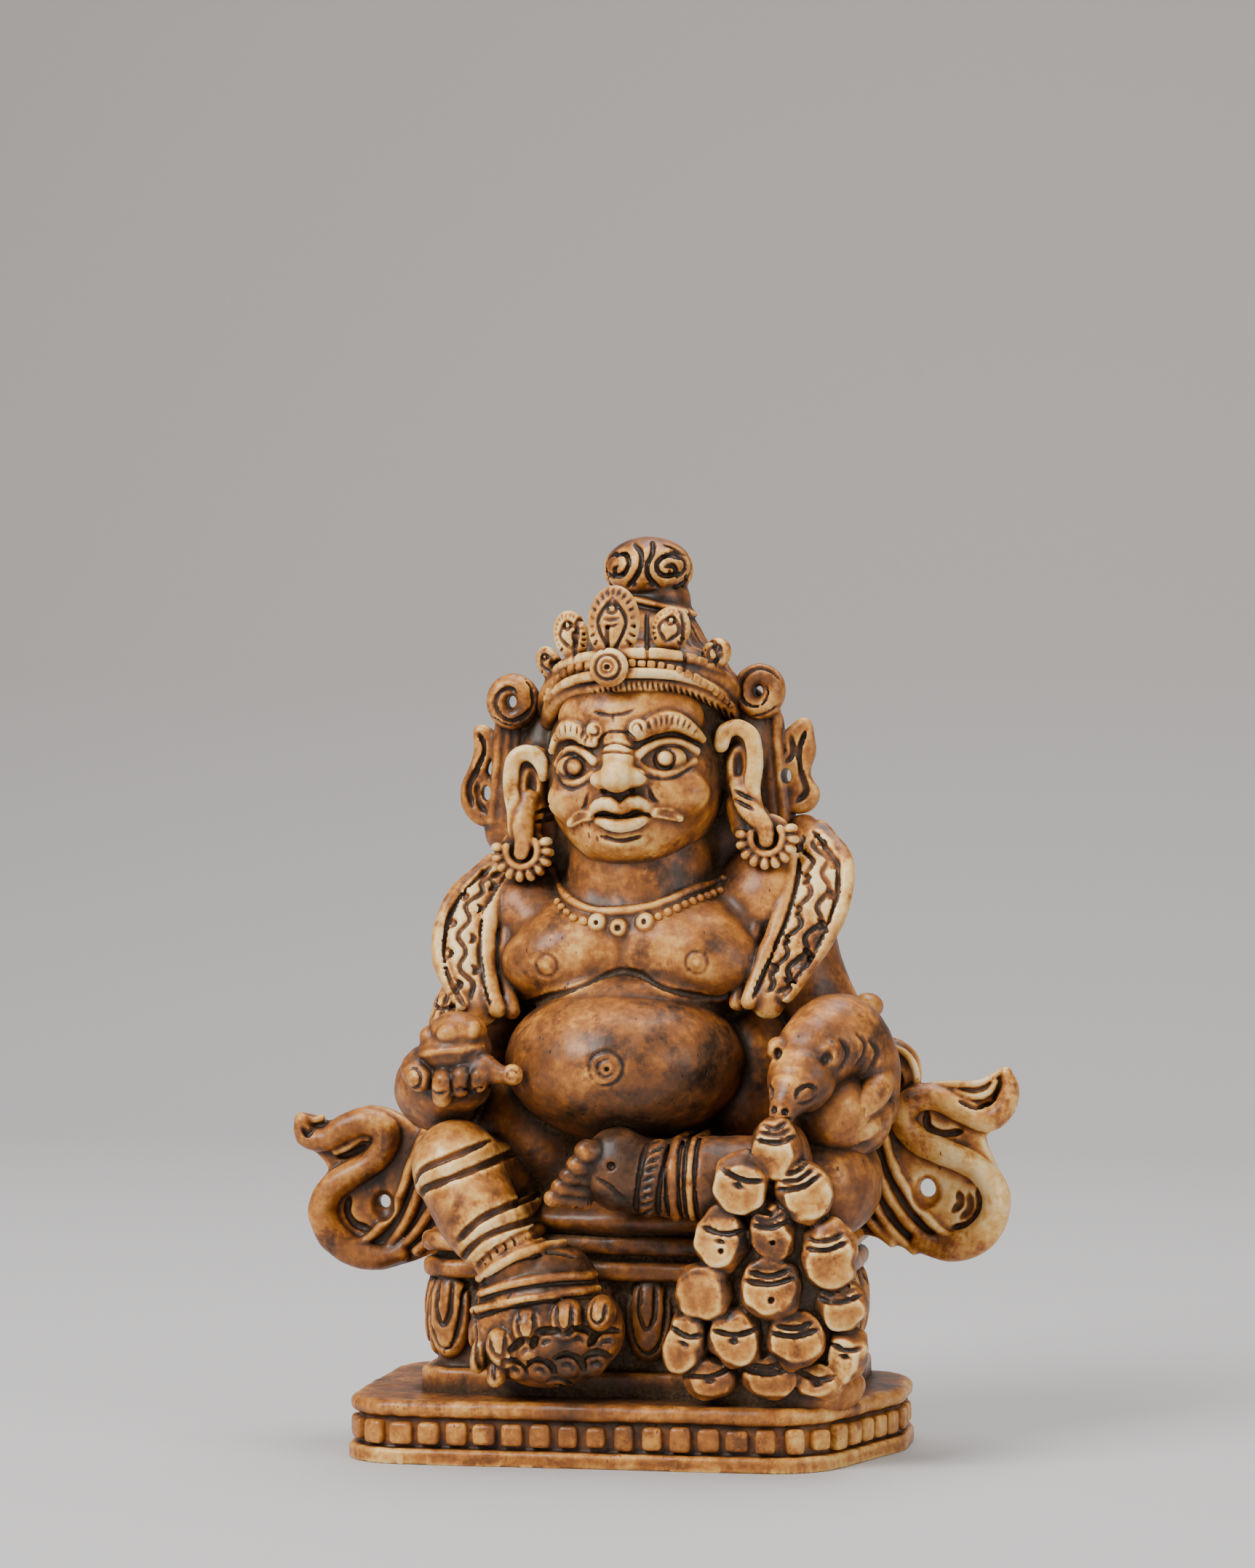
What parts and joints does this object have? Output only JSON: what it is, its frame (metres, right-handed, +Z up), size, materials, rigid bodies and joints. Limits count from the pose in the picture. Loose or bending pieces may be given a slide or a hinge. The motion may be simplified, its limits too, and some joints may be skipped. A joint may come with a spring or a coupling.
{
  "type": "seated deity statuette",
  "caption": "Small carved figure of a seated, pot-bellied wealth deity with fruit, mongoose and jewels on a throne and beaded base, in aged bone.",
  "frame": {"origin": "middle of the flat underside of the base", "axes": "+Z up along the figure's height, -Y out of the figure's face, +X to the figure's left hand"},
  "size_m": [0.0725, 0.0348, 0.088],
  "materials": {
    "bone": "carved and stained bone, worn to a soft wax-like gloss"
  },
  "bodies": {
    "root": {"statue": "bone"}
  },
  "joints": []
}
